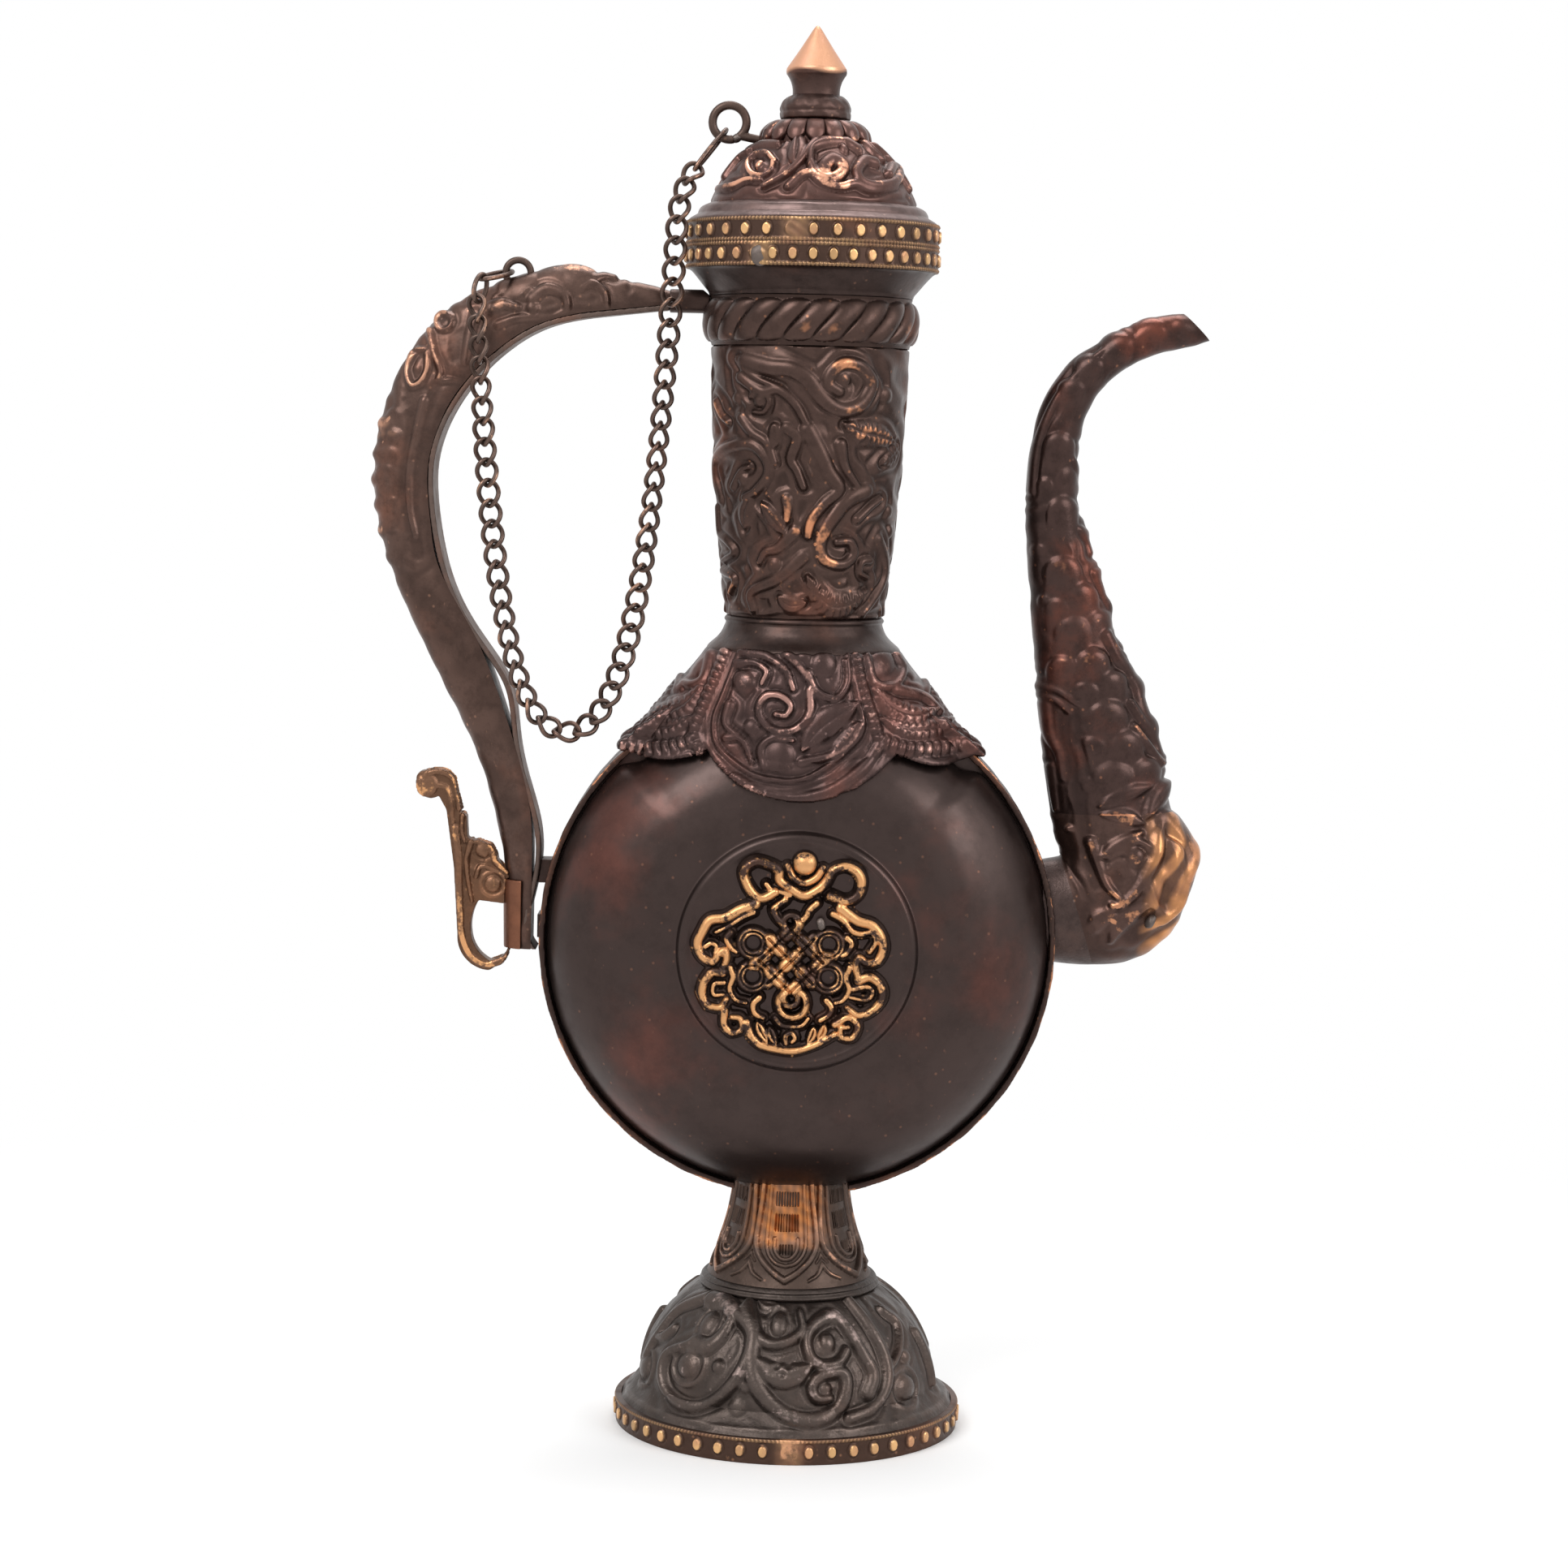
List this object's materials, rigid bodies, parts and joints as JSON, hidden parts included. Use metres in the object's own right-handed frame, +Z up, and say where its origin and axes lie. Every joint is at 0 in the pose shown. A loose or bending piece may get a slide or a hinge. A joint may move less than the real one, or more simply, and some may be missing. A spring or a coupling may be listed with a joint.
{
  "type": "spouted ewer with chained lid",
  "caption": "Dark patinated copper and brass moon-shaped ewer with lotus foot, tall neck, curved beast spout, dragon handle and a lift-off lid hung on a chain.",
  "frame": {"origin": "centre of the foot's standing plane, on the vertical axis of the body", "axes": "+Z up, +X towards the spout, -X towards the handle, -Y the pictured side with the medallion"},
  "size_m": [0.1064, 0.0452, 0.1799],
  "materials": {
    "dark_copper": "dark brown patinated copper, rubbed reddish on raised edges",
    "bright_brass": "worn coppery brass, dull polish",
    "chain_metal": "aged grey-brown wire"
  },
  "bodies": {
    "vessel": {"back_medallion": "bright_brass", "body_back_shell": "dark_copper", "body_front_shell": "dark_copper", "body_rim_wall": "dark_copper", "chain_handle_leg": "chain_metal", "edge_band_handle_side": "dark_copper", "edge_band_spout_side": "dark_copper", "foot_dome": "dark_copper", "foot_rim_band": "bright_brass", "foot_ring": "dark_copper", "foot_stem": "dark_copper", "front_medallion": "bright_brass", "handle_chain_loop": "bright_brass", "handle_ferrule": "bright_brass", "handle_inner_strip": "dark_copper", "handle_lower_lug": "dark_copper", "handle_neck_tenon": "dark_copper", "handle_shell": "dark_copper", "handle_tail_scroll": "bright_brass", "handle_upper_lug": "dark_copper", "mouth_band": "bright_brass", "mouth_collar": "dark_copper", "neck_base_collar": "dark_copper", "neck_rope_band": "dark_copper", "neck_tube": "dark_copper", "shoulder_cover": "dark_copper", "spout_head": "dark_copper", "spout_socket": "dark_copper", "spout_tube": "dark_copper"},
    "lid": {"finial": "bright_brass", "finial_collar": "bright_brass", "finial_rivet": "bright_brass", "lid_chain_loop": "bright_brass", "lid_dome": "dark_copper", "lid_inner_collar": "dark_copper", "lid_petal_ring": "dark_copper", "lid_rim_band": "bright_brass", "lid_skirt": "dark_copper"},
    "chain_middle": {"chain_bow": "chain_metal"},
    "chain_lid_end": {"chain_lid_leg": "chain_metal"}
  },
  "joints": [
    {"name": "lid_lift", "type": "slide", "parent": "vessel", "child": "lid", "axis": [0, 0, 1], "range_m": [0, 0.008]},
    {"name": "chain_middle_swing", "type": "hinge", "parent": "vessel", "child": "chain_middle", "pos_m": [-0.03835, -0.0062, 0.10613], "axis": [0, -1, 0], "range_deg": [0, 27.5]},
    {"name": "chain_end_swing", "type": "hinge", "parent": "chain_middle", "child": "chain_lid_end", "pos_m": [-0.02318, -0.0062, 0.09859], "axis": [0, -1, 0], "range_deg": [-25.8, 0]}
  ],
  "couplings": [
    {"joint": "chain_middle_swing", "follows": "lid_lift", "rad_per_m": 59.056},
    {"joint": "chain_end_swing", "follows": "lid_lift", "rad_per_m": -55.21}
  ]
}
